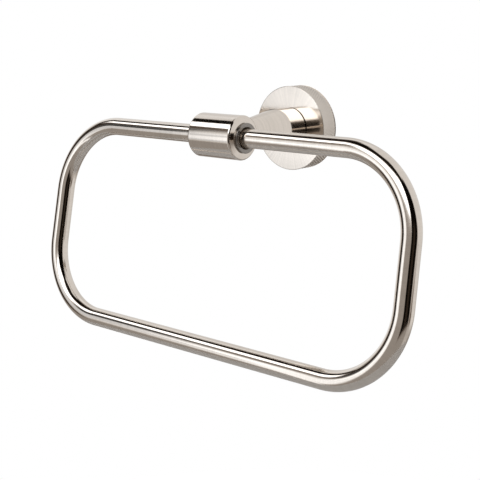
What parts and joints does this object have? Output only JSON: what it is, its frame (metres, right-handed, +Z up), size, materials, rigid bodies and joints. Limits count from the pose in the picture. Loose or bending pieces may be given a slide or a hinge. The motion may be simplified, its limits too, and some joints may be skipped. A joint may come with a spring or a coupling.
{
  "type": "towel ring",
  "caption": "Wall-mounted towel ring: a round bar bent to a rounded rectangle swings in a bushed collar on a tapered arm over a round wall rose.",
  "frame": {"origin": "centre of the round rose on the wall plane", "axes": "+X along the ring's top bar, +Y into the wall, +Z up"},
  "size_m": [0.25, 0.0936, 0.1373],
  "materials": {
    "satin_nickel": "warm satin nickel, fine brushing",
    "bush_plastic": "dark grey moulded plastic",
    "bracket_steel": "zinc-plated steel",
    "screw_steel": "stainless steel"
  },
  "bodies": {
    "wall_fitting": {"wall_rose": "satin_nickel", "arm": "satin_nickel", "left_bush": "bush_plastic", "right_bush": "bush_plastic", "wall_bracket": "bracket_steel", "post_screw": "screw_steel", "washer": "screw_steel", "set_screw": "screw_steel"},
    "ring": {"ring": "satin_nickel"}
  },
  "joints": [
    {"name": "ring_swing", "type": "hinge", "parent": "wall_fitting", "child": "ring", "pos_m": [0, -0.0695, 0], "axis": [1, 0, 0], "range_deg": [-205, 45]}
  ]
}
